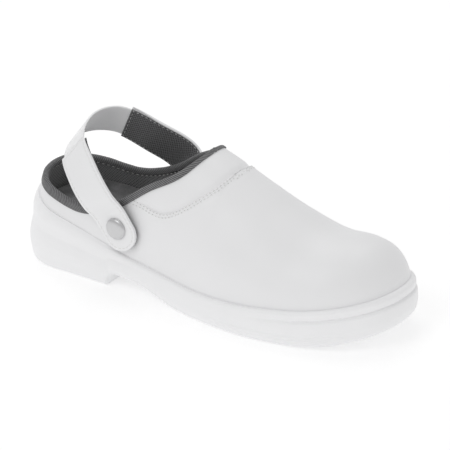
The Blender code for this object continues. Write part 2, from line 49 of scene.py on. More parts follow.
# Form of the last and of the sole: the sizes of the frame, but the heel wall leans in a little more
# and the tape is less deep there.
SOLE_LENGTH = 0.292
BALL_WIDTH = 0.106
HEEL_SEAT = 0.038
HEEL_ROUND = 0.036
TOE_ROUND = 0.060
HEEL_SQUARENESS = 2.2
TOE_SQUARENESS = 2.3
END_RUN = 0.055
RIM_HEIGHT = 0.050
RIM_LEDGE = 0.0045
ARCH_HEIGHT = 0.0098
TOE_SPRING = 0.0125
SPRING_START = 0.74
RIDGE_HEIGHT = 0.1164
COLLAR_HEIGHT = 0.063
WALL = 0.0020
LEATHER_WALL = 0.0012
LINING_GAP = 0.00002
RIM_GRIP = 0.004
TOE_CROWN = 0.048
CROWN_SQUARENESS = 2.6
SECTION_SQUARENESS = 2.1
HEEL_LEAN = 0.0055
LEAN_RISE = 0.020
THROAT = 0.492
SEAM_TOP = 0.562
SEAM_STEP = 0.0012
SEAM_TAPER = 0.20
SEAM_DRAW = 0.00014
SEAM_DRAW_WIDTH = 0.00055
PANEL_PADDING = 0.62
PANEL_RISE = 0.0055
PUCKER_HEIGHT = 0.00003
PUCKER_REACH = 0.007
FIT_GAP = 0.0003
BINDING_DEPTH = 0.0042
SIDE_DEPTH = 0.0027
INNER_DEPTH = 0.0023
THROAT_DEPTH = 0.0014
TAPE_SEAT = 0.00012
TAPE_SKIN = 0.00098
ROWS_BELOW = 34
INSOLE_THICKNESS = 0.0045
INSOLE_CUP = 0.0030

# Strap and rivets
RIVET_STATION = 0.3118
RIVET_HEIGHT = 0.0472
INNER_AHEAD = 0.00645
CAP_RADIUS = 0.0078
CAP_DOME = 0.0022
CAP_EDGE = 0.0007
CAP_ROLL = 0.00038
SHANK_RADIUS = 0.0024
SPACER_RADIUS = 0.0050
SPACER_THICKNESS = 0.0010
HEAD_RADIUS = 0.0050
HEAD_THICKNESS = 0.0012
HEAD_SLANT = 0.0015
STRAP_WIDTH = 0.0268
STRAP_THICKNESS = 0.0030
LINING_TOP = 0.0008
LOOP_WIDTH = 0.0234
LOOP_THICKNESS = 0.0014
TAB_REACH = 0.0165
TAB_RADIUS = 0.0120
STRAP_REACH = 0.05565
STRAP_INSET = 0.0011
STRAP_RISE = 0.0513
LEG_ENDS = (0.350, 0.655)
LOOP_TONGUE = 0.050

# Sewing
THREAD = 0.00032
SEAM_PITCH = 0.0028
SEAM_ROWS = (0.0016, 0.0044)
STRAP_PITCH = 0.0033
STRAP_ROW = 0.0021
LINING_ROW = 0.0015
LINING_PITCH = 0.0037
LINING_ROW_DROP = 0.00095

PLAN = {
    "station": (0.00, 0.10, 0.20, 0.32, 0.45, 0.58, 0.68, 0.78, 0.88, 1.00),
    "centre": (-0.038, -0.007, 0.012, 0.010, -0.002, -0.013, -0.006, 0.017, 0.043, 0.072),
    "half_width": (0.374, 0.386, 0.400, 0.409, 0.432, 0.481, 0.500, 0.483, 0.449, 0.414),
}
LEVELS = {
    "station": (0.00, 0.10, 0.20, 0.30, 0.40, 0.50, 0.62, 0.72, 0.82, 0.92, 1.00),
    "rim": (1.01, 0.84, 0.70, 0.56, 0.47, 0.415, 0.43, 0.48, 0.55, 0.665, 0.77),
    "cup": (0.62, 0.62, 0.57, 0.46, 0.38, 0.32, 0.28, 0.29, 0.33, 0.41, 0.50),
}
LEDGE = {
    "station": (0.00, 0.10, 0.25, 0.60, 0.90, 1.00),
    "width": (1.50, 1.15, 0.98, 0.98, 1.00, 1.13),
}
ARCH = {
    "station": (0.00, 0.272, 0.276, 0.280, 0.287, 0.296, 0.32, 0.345, 0.37, 0.40, 0.43, 0.46, 0.49, 1.00),
    "height": (0.0, 0.0, 0.08, 0.62, 0.90, 1.0, 1.0, 0.98, 0.91, 0.66, 0.38, 0.12, 0.0, 0.0),
}
STEPS = {
    "heel_height": (0.0, 0.025, 0.10, 0.27, 0.40, 0.53, 0.61, 0.67, 0.80, 0.91, 1.0),
    "heel_inset": (0.62, 0.38, 0.20, 0.00, 0.04, 0.22, 0.38, 0.42, 0.46, 0.66, 1.0),
    "waist_height": (0.0, 0.05, 0.16, 0.32, 0.52, 0.66, 0.74, 0.80, 0.91, 0.98, 1.0),
    "waist_inset": (1.15, 0.60, 0.20, 0.00, 0.02, 0.08, 0.14, 0.20, 0.33, 0.58, 1.0),
    "toe_height": (0.0, 0.05, 0.16, 0.36, 0.57, 0.685, 0.735, 0.785, 0.92, 0.98, 1.0),
    "toe_inset": (1.15, 0.60, 0.20, 0.00, 0.02, 0.13, 0.47, 0.30, 0.33, 0.56, 1.0),
}
RIDGE = {
    "station": (0.00, 0.38, 0.45, 0.52, 0.60, 0.70, 0.80, 0.88, 0.95, 1.00),
    "height": (1.30, 1.00, 0.925, 0.858, 0.757, 0.634, 0.552, 0.566, 0.565, 0.479),
}
COLLAR = {
    "station": (0.00, 0.10, 0.20, 0.30, 0.38, 0.45),
    "height": (0.99, 0.88, 0.818, 0.99, 1.256, 1.456),
}
SEAM = {
    "station": (0.30, 0.365, 0.40, 0.43, 0.46, 0.49, 0.52, 0.55),
    "height": (1.165, 1.063, 1.026, 1.026, 1.09, 1.19, 1.30, 1.42),
}
STRAP = {
    "station": (0.00, 0.05, 0.125, 0.25, 0.375, 0.50, 0.625, 0.75, 0.875, 0.95, 1.00),
    "back": (0.00, 0.117, 0.245, 0.556, 0.879, 1.022, 0.875, 0.478, 0.164, 0.060, 0.00),
    "side": (-1.0, -1.0, -1.09, -0.98, -0.627, -0.008, 0.535, 0.762, 1.04, 1.0, 1.0),
    "up": (0.00, 0.161, 0.351, 0.662, 0.880, 0.958, 0.889, 0.672, 0.365, 0.165, 0.00),
    "wide_forward": (0.857, 0.857, 0.83, 0.665, 0.61, 0.555, 0.426, 0.503, 0.767, 0.93, 0.93),
    "wide_across": (0.0, 0.0, 0.02, 0.10, 0.116, 0.0, -0.048, 0.018, 0.17, 0.0, 0.0),
    "wide_up": (0.515, 0.515, 0.57, 0.745, 0.80, 0.83, 0.904, 0.864, 0.619, 0.367, 0.367),
}
GROOVE_STATIONS = (0.068, 0.192, 0.545, 0.597, 0.649, 0.701, 0.753, 0.805, 0.857)
GROOVE_WIDTH = 0.0035
GROOVE_DEPTH = 0.0022
GROOVE_EDGE = 0.013
FINE_LINES = (0.0038, 0.0062, 0.0088)
FINE_LINE_WIDTH = 0.00045
FINE_LINE_DEPTH = 0.00028
LIP_SQUEEZE = 0.998
LIP_PRESS = 0.0006
LIP_ROWS = (0.0002, 0.0012)
LIP_DEPTH = 0.0024

# Below these distances, points of a mesh are one point
MERGE = 0.000008
DISSOLVE = 0.000002

# Camera, floor and light
CAMERA_AZIMUTH = math.radians(34)
CAMERA_ELEVATION = math.radians(26)
CAMERA_DISTANCE = 2.2
CAMERA_LENS = 260.05
CAMERA_TARGET = (0.112, 0.0, 0.045)
CAMERA_SHIFT = (0.00095, 0.00355)
FLOOR_SIZE = 8.0
FLOOR_DROP = 0.0002
FLOOR_GLOW = 0.345
STUDIO_LIGHT = 0.674
LIGHT_TARGET = (0.10, 0.0, 0.05)
SOFTBOXES = {
    "key": ((-0.3, -1.6, 1.9), 1.2, 7.6),
    "back": ((-0.5, 0.7, 1.8), 1.4, 5.8),
}


# The form of the last and of the sole

def smooth(table, column, share):
    """Value of a column at a share of the length, on a smooth curve through the rows."""
    x = np.asarray(table["station"], float)
    y = np.asarray(table[column], float)
    share = np.clip(np.asarray(share, float), x[0], x[-1])
    step = np.diff(x)
    slope = np.diff(y) / step
    tangent = np.empty_like(y)
    tangent[0] = slope[0]
    tangent[-1] = slope[-1]
    tangent[1:-1] = (step[1:] * slope[:-1] + step[:-1] * slope[1:]) / (step[1:] + step[:-1])
    row = np.clip(np.searchsorted(x, share, side="right") - 1, 0, len(step) - 1)
    t = (share - x[row]) / step[row]
    rise = (1 + 2 * t) * (1 - t) ** 2 * y[row] + t * t * (3 - 2 * t) * y[row + 1]
    bend = t * (1 - t) ** 2 * tangent[row] - t * t * (1 - t) * tangent[row + 1]
    return rise + bend * step[row]


def blend(low, high, value):
    """0 below low, 1 above high, eased between."""
    t = np.clip((value - low) / (high - low), 0.0, 1.0)
    return t * t * (3 - 2 * t)


def end_rounding(share):
    run = share * SOLE_LENGTH
    heel = np.clip((HEEL_ROUND - run) / HEEL_ROUND, 0, 1)
    toe = np.clip((run - SOLE_LENGTH + TOE_ROUND) / TOE_ROUND, 0, 1)
    back = np.clip(1 - heel ** HEEL_SQUARENESS, 0, 1) ** (1 / HEEL_SQUARENESS)
    front = np.clip(1 - toe ** TOE_SQUARENESS, 0, 1) ** (1 / TOE_SQUARENESS)
    return back * front


def plan(share, inset):
    """Distance from the heel, centre and half width of the sole outline, moved inward by an inset."""
    run = share * SOLE_LENGTH
    back = (1 - np.clip(run / END_RUN, 0, 1)) ** 2
    front = (1 - np.clip((SOLE_LENGTH - run) / END_RUN, 0, 1)) ** 2
    length = run + inset * (back - front)
    centre = smooth(PLAN, "centre", share) * BALL_WIDTH
    half = (smooth(PLAN, "half_width", share) * BALL_WIDTH - inset) * end_rounding(share)
    return length, centre, half


def ledge(share):
    return smooth(LEDGE, "width", share) * RIM_LEDGE


def rim(share):
    return smooth(LEVELS, "rim", share) * RIM_HEIGHT


def cup(share):
    return smooth(LEVELS, "cup", share) * RIM_HEIGHT


def tread(share):
    spring = np.clip((share - SPRING_START) / (1 - SPRING_START), 0, 1) ** 2 * TOE_SPRING
    return np.interp(share, ARCH["station"], ARCH["height"]) * ARCH_HEIGHT + spring


def base(share):
    return rim(share) - RIM_GRIP


def ridge(share):
    inset = ledge(share) + FIT_GAP
    length, _, _ = plan(share, inset)
    front = SOLE_LENGTH - ledge(1.0) - FIT_GAP
    toe = np.clip((length - front + TOE_CROWN) / TOE_CROWN, 0, 1)
    crown = np.clip(1 - toe ** CROWN_SQUARENESS, 0, 1) ** (1 / CROWN_SQUARENESS)
    height = smooth(RIDGE, "height", share) * RIDGE_HEIGHT
    return base(share) + (height - base(share)) * crown


def edge_height(table, top, share):
    """Height of an edge of the upper, which meets the ridge at its top station."""
    rows = {
        "station": table["station"] + (top,),
        "height": table["height"] + (float(ridge(top)) / COLLAR_HEIGHT,),
    }
    return np.where(share < top, smooth(rows, "height", share) * COLLAR_HEIGHT, ridge(share))


def collar(share):
    return edge_height(COLLAR, THROAT, share)


def seam(share):
    return np.minimum(edge_height(SEAM, SEAM_TOP, share), collar(share))


def rise_angle(share, height):
    span = np.maximum(ridge(share) - base(share), 1e-9)
    part = np.clip((height - base(share)) / span, 0, 1)
    return np.arcsin(part ** (SECTION_SQUARENESS / 2))


def upper_face(share, side, angle):
    """Points of the outer face of the upper; the side is -1 outside and +1 inside the foot."""
    power = 2 / SECTION_SQUARENESS
    low = base(share)
    height = low + (ridge(share) - low) * np.clip(np.sin(angle), 0, 1) ** power
    lean = HEEL_LEAN * (1 - blend(0.0, 0.25, share)) * (height - low) / LEAN_RISE
    inset = ledge(share) + FIT_GAP + np.minimum(lean, HEEL_LEAN)
    length, centre, half = plan(share, inset)
    across = centre + side * half * np.clip(np.cos(angle), 0, 1) ** power
    return np.stack([length - HEEL_SEAT, across, height], -1)


def rivet_spot(side):
    """Centre of the strap at its rivet; the inner rivet stands further ahead."""
    length, centre, half = plan(RIVET_STATION + max(side, 0) * INNER_AHEAD / SOLE_LENGTH, STRAP_INSET)
    return np.array([length - HEEL_SEAT, centre + side * half, RIVET_HEIGHT])


def strap_centre(station):
    """Middle line of the strap, measured from the straight line between the rivets."""
    station = np.asarray(station, float)
    outside = rivet_spot(-1)
    inside = rivet_spot(1)
    ahead = station * (inside[0] - outside[0]) - smooth(STRAP, "back", station) * STRAP_REACH
    across = (smooth(STRAP, "side", station) + 1) / 2 * (inside[1] - outside[1])
    up = smooth(STRAP, "up", station) * STRAP_RISE
    return np.stack([outside[0] + ahead, outside[1] + across, outside[2] + up], -1)


def unit(vectors):
    size = np.linalg.norm(vectors, axis=-1, keepdims=True)
    return vectors / np.maximum(size, 1e-12)


def run_along(points, axis=0):
    """Length run along a line or a grid of points, from its first one."""
    first = points[:1] if axis == 0 else points[:, :1]
    return np.cumsum(np.linalg.norm(np.diff(points, axis=axis, prepend=first), axis=-1), axis=axis)


def strap_frame(station):
    """Middle, direction, width direction and outward direction of the strap at some stations."""
    station = np.clip(np.asarray(station, float), 0.0, 1.0)
    before = np.clip(station - 0.01, 0, 1)
    after = np.clip(station + 0.01, 0, 1)
    along = unit(strap_centre(after) - strap_centre(before))
    wide = np.stack([smooth(STRAP, name, station)
                     for name in ("wide_forward", "wide_across", "wide_up")], -1)
    wide = unit(wide - along * np.sum(wide * along, -1, keepdims=True))
    return strap_centre(station), along, wide, np.cross(wide, along)


# Meshes

def srgb(code):
    """Linear colour of an sRGB hex value."""
    parts = [int(code[i:i + 2], 16) / 255 for i in (0, 2, 4)]
    return tuple(p / 12.92 if p <= 0.04045 else ((p + 0.055) / 1.055) ** 2.4 for p in parts) + (1.0,)


def put(name, data):
    thing = bpy.data.objects.new(name, data)
    bpy.context.scene.collection.objects.link(thing)
    return thing


def mesh_object(name, mesh, material):
    thing = put(name, mesh)
    mesh.materials.clear()
    mesh.materials.append(material)
    mesh.shade_smooth()
    return thing


def grid_object(name, grids, material, runs=None, closed=False, outward=False):
    """Piece made of grids of points; runs give each point's place on the cloth in metres."""
    mesh = bpy.data.meshes.new(name)
    points = []
    faces = []
    places = []
    count = 0
    for number, (grid, flip) in enumerate(grids):
        rows, columns = grid.shape[:2]
        index = count + np.arange(rows * columns).reshape(rows, columns)
        quads = np.stack([index[:-1, :-1], index[1:, :-1], index[1:, 1:], index[:-1, 1:]], -1)
        quads = quads.reshape(-1, 4)
        faces += (quads[:, ::-1] if flip else quads).tolist()
        points.append(grid.reshape(-1, 3))
        if runs is not None:
            places.append(runs[number].reshape(-1, 2))
        count += rows * columns
    mesh.from_pydata(np.concatenate(points).tolist(), [], faces)
    if runs is not None:
        layer = mesh.uv_layers.new(name="cloth")
        corner = np.zeros(len(mesh.loops), int)
        mesh.loops.foreach_get("vertex_index", corner)
        layer.data.foreach_set("uv", np.concatenate(places)[corner].ravel())
    bm = bmesh.new()
    bm.from_mesh(mesh)
    bmesh.ops.remove_doubles(bm, verts=bm.verts, dist=MERGE)
    bmesh.ops.dissolve_degenerate(bm, edges=bm.edges, dist=DISSOLVE)
    if closed:
        bmesh.ops.holes_fill(bm, edges=[e for e in bm.edges if e.is_boundary], sides=0)
    if closed or outward:
        bmesh.ops.recalc_face_normals(bm, faces=bm.faces)
    bm.to_mesh(mesh)
    bm.free()
    return mesh_object(name, mesh, material)


def evaluated(thing):
    """Mesh of an object with its modifiers applied."""
    depsgraph = bpy.context.evaluated_depsgraph_get()
    return bpy.data.meshes.new_from_object(thing.evaluated_get(depsgraph))


def settle(thing):
    """Applies a piece's modifiers to its mesh."""
    mesh = evaluated(thing)
    thing.modifiers.clear()
    thing.data = mesh


def finish_piece(thing, slot, *nodes):
    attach(thing, "root")
    if nodes:
        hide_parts(*nodes)


# Materials

def node(tree, kind, inputs=None, **settings):
    """Adds a node; an input is a value or the socket that feeds it."""
    made = tree.nodes.new(kind)
    for name, value in settings.items():
        setattr(made, name, value)
    for name, value in (inputs or {}).items():
        if isinstance(value, bpy.types.NodeSocket):
            tree.links.new(value, made.inputs[name])
        else:
            made.inputs[name].default_value = value
    return made


def new_material(name, cloth=False, **settings):
    """A material, its tree, and the place on the piece or on its cloth that the patterns read."""
    material = bpy.data.materials.new(name)
    material.use_nodes = True
    tree = material.node_tree
    for key, value in settings.items():
        tree.nodes["Principled BSDF"].inputs[key.replace("_", " ")].default_value = value
    if cloth:
        return material, tree, node(tree, "ShaderNodeUVMap", uv_map="cloth").outputs["UV"]
    return material, tree, node(tree, "ShaderNodeTexCoord").outputs["Object"]


def surface(material, factor, dark, light, reliefs=(), rough=None):
    """Last stage of a material: a colour between two tones, its reliefs and its roughness.

    A relief is what drives it, its strength and its depth; rough is what drives it, and its ends.
    """
    tree = material.node_tree
    shader = tree.nodes["Principled BSDF"]
    tone = node(tree, "ShaderNodeMix", {"Factor": factor, 6: srgb(dark), 7: srgb(light)},
                data_type="RGBA")
    tree.links.new(tone.outputs[2], shader.inputs["Base Color"])
    normal = None
    for height, strength, depth in reliefs:
        bump = node(tree, "ShaderNodeBump", {"Height": height, "Strength": strength, "Distance": depth})
        if normal:
            tree.links.new(normal, bump.inputs["Normal"])
        normal = bump.outputs["Normal"]
    if normal:
        tree.links.new(normal, shader.inputs["Normal"])
    if rough:
        span = node(tree, "ShaderNodeMapRange", {
            "Value": rough[0], "To Min": rough[1], "To Max": rough[2]})
        tree.links.new(span.outputs["Result"], shader.inputs["Roughness"])
    return material


def coated_microfibre():
    # Microfibre with a polyurethane skin, embossed with a fine pebble: closed, satin and easy to wipe.
    material, tree, place = new_material(
        "coated_microfibre", IOR=1.49, Coat_Weight=0.12, Coat_Roughness=0.38, Coat_IOR=1.5)
    pebble = node(tree, "ShaderNodeTexVoronoi", {
        "Vector": place, "Scale": 1 / (0.85 * MM)}, feature="SMOOTH_F1")
    hide = node(tree, "ShaderNodeTexNoise", {"Vector": place, "Scale": 1 / (2.6 * MM), "Detail": 4.0})
    grain = node(tree, "ShaderNodeMath", {
        0: pebble.outputs["Distance"], 1: hide.outputs["Fac"]}, operation="MULTIPLY")
    broad = node(tree, "ShaderNodeTexNoise", {"Vector": place, "Scale": 1 / (42 * MM), "Detail": 2.0})
    return surface(material, broad.outputs["Fac"], "E9E9EA", "EFEFF0",
                   [(grain.outputs["Value"], 0.35, 0.10 * MM)], (hide.outputs["Fac"], 0.42, 0.54))


def moulded_polyurethane():
    # Foamed polyurethane with a moulded skin: a little softer and brighter than the upper.
    material, tree, place = new_material(
        "moulded_polyurethane", IOR=1.5, Coat_Weight=0.08, Coat_Roughness=0.3)
    skin = node(tree, "ShaderNodeTexNoise", {"Vector": place, "Scale": 1 / (0.55 * MM), "Detail": 3.0})
    flow = node(tree, "ShaderNodeTexNoise", {"Vector": place, "Scale": 1 / (18 * MM), "Detail": 2.0})
    return surface(material, flow.outputs["Fac"], "EFEFF0", "F3F3F4",
                   [(skin.outputs["Fac"], 0.22, 0.06 * MM), (flow.outputs["Fac"], 0.25, 0.35 * MM)],
                   (skin.outputs["Fac"], 0.38, 0.52))


def spacer_mesh(name, dark, light):
    # Warp-knit spacer textile: dark yarn round rows of small open cells. The real cells are about
    # 1 mm apart, too fine to show, so they are drawn 1.6 mm apart.
    material, tree, cloth = new_material(
        name, cloth=True, Roughness=0.85, Sheen_Weight=0.25, Sheen_Roughness=0.5)
    turned = node(tree, "ShaderNodeMapping", {"Vector": cloth, "Rotation": (0.0, 0.0, math.radians(45))})
    cells = node(tree, "ShaderNodeTexVoronoi", {
        "Vector": turned.outputs["Vector"], "Scale": 1 / (1.6 * MM), "Randomness": 0.10},
        voronoi_dimensions="2D")
    yarn = node(tree, "ShaderNodeTexNoise", {"Vector": cloth, "Scale": 1 / (0.5 * MM), "Detail": 3.0})
    open_cell = node(tree, "ShaderNodeMapRange", {
        "Value": cells.outputs["Distance"], "From Min": 0.16, "From Max": 0.50})
    mixed = node(tree, "ShaderNodeMath", {
        0: open_cell.outputs["Result"], 1: yarn.outputs["Fac"]}, operation="MULTIPLY").outputs["Value"]
    return surface(material, mixed, dark, light, [(mixed, 0.8, 0.25 * MM)])


def knitted_tape():
    # Knitted edge tape, folded over the wall: grey, with slanting ribs. The real ribs are under 1 mm
    # apart, too fine to show, so they are drawn 1.6 mm apart.
    material, tree, cloth = new_material(
        "knitted_tape", cloth=True, Roughness=0.9, Sheen_Weight=0.15, Sheen_Roughness=0.45)
    parts = node(tree, "ShaderNodeSeparateXYZ", {"Vector": cloth})
    along = node(tree, "ShaderNodeMath", {
        0: parts.outputs["X"], 1: 2 * math.pi / (1.6 * MM)}, operation="MULTIPLY")
    slant = node(tree, "ShaderNodeMath", {
        0: parts.outputs["Y"], 1: 2 * math.pi / (2.2 * MM), 2: along.outputs["Value"]},
        operation="MULTIPLY_ADD")
    rib = node(tree, "ShaderNodeMath", {0: slant.outputs["Value"]}, operation="SINE")
    height = node(tree, "ShaderNodeMapRange", {
        "Value": rib.outputs["Value"], "From Min": -1.0, "From Max": 1.0})
    fuzz = node(tree, "ShaderNodeTexNoise", {
        "Vector": cloth, "Scale": 1 / (2.4 * MM), "Detail": 4.0, "Roughness": 0.7})
    mixed = node(tree, "ShaderNodeMath", {
        0: height.outputs["Result"], 1: fuzz.outputs["Fac"]}, operation="MULTIPLY").outputs["Value"]
    knit = node(tree, "ShaderNodeMapRange", {"Value": mixed, "From Min": 0.08, "From Max": 0.44})
    return surface(material, knit.outputs["Result"], "474748", "848485", [(mixed, 0.8, 0.12 * MM)])


def needled_felt():
    # Needled polyester felt on the insole: matt grey, matted fibres with lighter ones among them.
    material, tree, place = new_material(
        "needled_felt", Roughness=1.0, Sheen_Weight=0.35, Sheen_Roughness=0.6)
    drawn = node(tree, "ShaderNodeMapping", {"Vector": place, "Scale": (1.0, 2.2, 1.0)})
    fibre = node(tree, "ShaderNodeTexNoise", {
        "Vector": drawn.outputs["Vector"], "Scale": 1 / (1.1 * MM), "Detail": 6.0,
        "Roughness": 0.7, "Distortion": 0.8}).outputs["Fac"]
    patch = node(tree, "ShaderNodeTexNoise", {"Vector": place, "Scale": 1 / (9 * MM), "Detail": 2.0})
    mixed = node(tree, "ShaderNodeMath", {0: fibre, 1: patch.outputs["Fac"]}, operation="ADD")
    share = node(tree, "ShaderNodeMapRange", {
        "Value": mixed.outputs["Value"], "From Min": 0.7, "From Max": 1.3})
    return surface(material, share.outputs["Result"], "464647", "7C7C7D", [(fibre, 0.7, 0.35 * MM)])


def strap_band():
    # Smooth calendered polyurethane band: even and thin, and a little light comes through it.
    material, tree, place = new_material(
        "strap_band", IOR=1.49, Coat_Weight=0.05, Coat_Roughness=0.4, Subsurface_Weight=0.6,
        Subsurface_Radius=(1.0, 1.0, 1.0), Subsurface_Scale=2.2 * MM)
    skin = node(tree, "ShaderNodeTexNoise", {
        "Vector": place, "Scale": 1 / (0.8 * MM), "Detail": 3.0}).outputs["Fac"]
    return surface(material, skin, "ECECED", "F3F3F4", [(skin, 0.25, 0.05 * MM)], (skin, 0.45, 0.58))


def satin_steel():
    # Nickel-plated steel, tumbled to a satin: fine random scratches that spread the reflections.
    material, tree, place = new_material("satin_steel", Metallic=1.0)
    tumble = node(tree, "ShaderNodeTexNoise", {
        "Vector": place, "Scale": 1 / (0.30 * MM), "Detail": 4.0}).outputs["Fac"]
    return surface(material, tumble, "BEBEBF", "D6D6D7", [(tumble, 0.12, 0.02 * MM)],
                   (tumble, 0.24, 0.38))


def sewing_thread(name, light, dark):
    # Bonded polyester thread: its twisted plies break up the light in fine spots.
    material, tree, place = new_material(name, Roughness=0.6, Sheen_Weight=0.2)
    twist = node(tree, "ShaderNodeTexNoise", {"Vector": place, "Scale": 1 / (0.25 * MM), "Detail": 2.0})
    return surface(material, twist.outputs["Fac"], dark, light)


def needle_prick_shade():
    # Painted shade where the needle went through the coated skin: the dark grey stands in for the shadow
    # in each needle hole.
    material, tree, place = new_material("needle_prick_shade", Roughness=0.9)
    fibre = node(tree, "ShaderNodeTexNoise", {"Vector": place, "Scale": 1 / (0.4 * MM), "Detail": 2.0})
    return surface(material, fibre.outputs["Fac"], "6A6A69", "8C8C8A")


MICROFIBRE = coated_microfibre()
SOLE_SKIN = moulded_polyurethane()
# The lining of the upper gets lighter tones than the same mesh on the strap: painted light, for the light
# that falls into the collar from above.
LINING_PAINTED_LIGHTER = spacer_mesh("spacer_mesh", "525253", "B0B0B1")
STRAP_LINING = spacer_mesh("strap_spacer_mesh", "363637", "949495")
TAPE = knitted_tape()
FELT = needled_felt()
BAND = strap_band()
STEEL = satin_steel()
WHITE_THREAD = sewing_thread("white_thread", "F2F2F1", "DEDEDD")
GREY_THREAD = sewing_thread("grey_thread", "D2D2D2", "B4B4B4")
PRICK_SHADE = needle_prick_shade()


# Sewing: one tree of nodes lays a stitch, or a mark of painted shade for the needle's prick, at an even
# pitch along a line

def stitch_tree():
    tree = bpy.data.node_groups.new("stitch_row", "GeometryNodeTree")
    tree.interface.new_socket("Geometry", in_out="INPUT", socket_type="NodeSocketGeometry")
    for name in ("Pitch", "Length", "Width", "Height", "Shift"):
        tree.interface.new_socket(name, in_out="INPUT", socket_type="NodeSocketFloat")
    tree.interface.new_socket("Material", in_out="INPUT", socket_type="NodeSocketMaterial")
    tree.interface.new_socket("Geometry", in_out="OUTPUT", socket_type="NodeSocketGeometry")
    given = node(tree, "NodeGroupInput").outputs
    row = node(tree, "GeometryNodeResampleCurve", {
        "Curve": given["Geometry"], "Length": given["Pitch"]}, mode="LENGTH")
    shape = node(tree, "GeometryNodeMeshUVSphere", {"Segments": 8, "Rings": 6, "Radius": 0.5})
    size = node(tree, "ShaderNodeCombineXYZ", {
        "X": given["Length"], "Y": given["Width"], "Z": given["Height"]})
    tangent = node(tree, "GeometryNodeInputTangent").outputs["Tangent"]
    upward = node(tree, "GeometryNodeInputNormal").outputs["Normal"]
    first = node(tree, "FunctionNodeAlignRotationToVector", {"Vector": tangent}, axis="X")
    turned = node(tree, "FunctionNodeAlignRotationToVector", {
        "Rotation": first.outputs["Rotation"], "Vector": upward}, axis="Z", pivot_axis="X")
    placed = node(tree, "GeometryNodeInstanceOnPoints", {
        "Points": row.outputs["Curve"], "Instance": shape.outputs["Mesh"],
        "Rotation": turned.outputs["Rotation"], "Scale": size.outputs["Vector"]})
    offset = node(tree, "ShaderNodeCombineXYZ", {"X": given["Shift"]})
    moved = node(tree, "GeometryNodeTranslateInstances", {
        "Instances": placed.outputs["Instances"], "Translation": offset.outputs["Vector"]})
    real = node(tree, "GeometryNodeRealizeInstances", {"Geometry": moved.outputs["Instances"]})
    painted = node(tree, "GeometryNodeSetMaterial", {
        "Geometry": real.outputs["Geometry"], "Material": given["Material"]})
    node(tree, "NodeGroupOutput", {"Geometry": painted.outputs["Geometry"]})
    return tree


STITCH_TREE = stitch_tree()


def sew(name, lines, material, slot, pitch, length, width, height, shift=0.0):
    """Stitches along lines of points, as one plain mesh."""
    curve = bpy.data.curves.new(name, "CURVE")
    curve.dimensions = "3D"
    for line in lines:
        spline = curve.splines.new("POLY")
        spline.points.add(len(line) - 1)
        spline.points.foreach_set("co", np.c_[line, np.ones(len(line))].ravel())
    path = put(name + "_line", curve)
    maker = path.modifiers.new("stitches", "NODES")
    maker.node_group = STITCH_TREE
    values = {"Pitch": pitch, "Length": length, "Width": width, "Height": height, "Shift": shift,
              "Material": material}
    for item in STITCH_TREE.interface.items_tree:
        if item.in_out == "INPUT" and item.name in values:
            maker[item.identifier] = values[item.name]
    mesh = evaluated(path)
    bpy.data.objects.remove(path)
    finish_piece(mesh_object(name, mesh, material), slot)


# The upper

def upper_stations():
    heel = 0.27 * (1 - np.cos(np.linspace(0, math.pi / 2, 52)))
    middle = np.linspace(0.27, THROAT - 0.05, 34)[1:]
    throat = THROAT - 0.05 + 0.05 * np.sin(np.linspace(0, math.pi / 2, 26))[1:]
    instep = np.linspace(THROAT, SEAM_TOP - 0.03, 14)[1:]
    crossing = np.linspace(SEAM_TOP - 0.03, SEAM_TOP, 42)[1:]
    beyond = np.linspace(SEAM_TOP, SEAM_TOP + 0.02, 14)[1:]
    vamp = np.linspace(SEAM_TOP + 0.02, 0.80, 40)[1:]
    toe = 0.80 + 0.20 * np.sin(np.linspace(0, math.pi / 2, 58))[1:]
    return np.concatenate([heel, middle, throat, instep, crossing, beyond, vamp, toe])


def face_normals(grid, side):
    """Outward directions of a grid of points, station by station and row by row."""
    along = np.gradient(grid, axis=0)
    rising = np.gradient(grid, axis=1)
    out = unit(np.cross(along, rising)) * -side
    weak = np.linalg.norm(np.cross(along, rising), axis=-1) < 1e-14
    for column in range(1, grid.shape[1]):
        out[weak[:, column], column] = out[weak[:, column], column - 1]
    out[0, :, 1] = 0.0
    out[-1] = (1.0, 0.0, 0.0)
    return unit(out)


